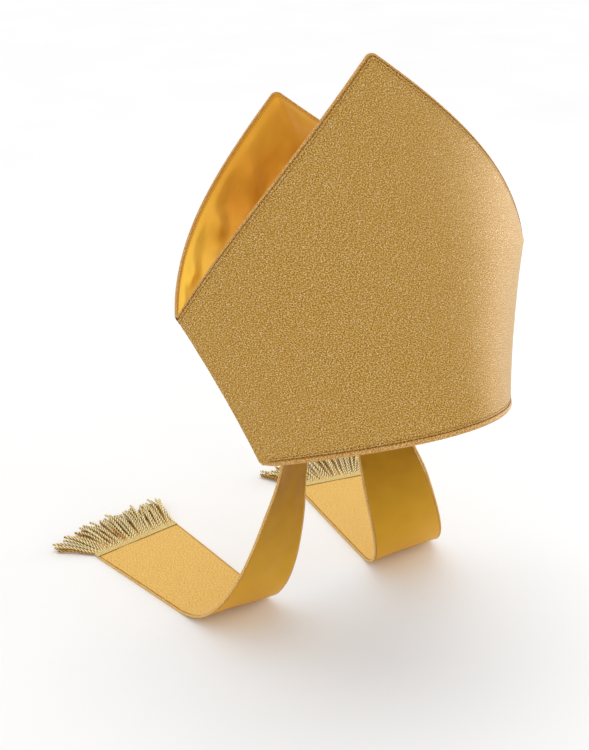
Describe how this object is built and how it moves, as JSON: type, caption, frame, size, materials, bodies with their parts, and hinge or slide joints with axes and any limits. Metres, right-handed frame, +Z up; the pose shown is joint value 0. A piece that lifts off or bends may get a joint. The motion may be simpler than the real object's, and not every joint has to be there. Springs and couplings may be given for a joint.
{
  "type": "bishop mitre",
  "caption": "Tall two-horned ceremonial hat in gold cloth, with a satin gusset between the horns and fringed lappets hanging from the back rim.",
  "frame": {"origin": "centre of the rim, where the mitre sits on a head", "axes": "+Z up, -Y the way the wearer faces, +X the wearer's left; the mitre's own axis leans back 22.8 degrees towards +Y"},
  "size_m": [0.3754, 0.3886, 0.4785],
  "materials": {
    "gold_lame": "gold lurex cloth with a fine random glitter",
    "gold_cord": "self-fabric corded edge",
    "rim_cord": "self-fabric corded rim, worn to a warmer brown",
    "satin": "soft yellow-gold satin",
    "bullion": "pale gold twisted bullion strands"
  },
  "bodies": {
    "root": {"front_panel": "gold_lame", "back_panel": "gold_lame", "front_horn_cord": "gold_cord", "back_horn_cord": "gold_cord", "rim_cord": "rim_cord", "gusset": "satin", "right_lappet": "gold_lame", "right_lappet_outer_cord": "gold_cord", "right_lappet_inner_cord": "gold_cord", "right_fringe_heading": "bullion", "right_fringe": "bullion", "left_lappet": "gold_lame", "left_lappet_outer_cord": "gold_cord", "left_lappet_inner_cord": "gold_cord", "left_fringe_heading": "bullion", "left_fringe": "bullion"}
  },
  "joints": []
}
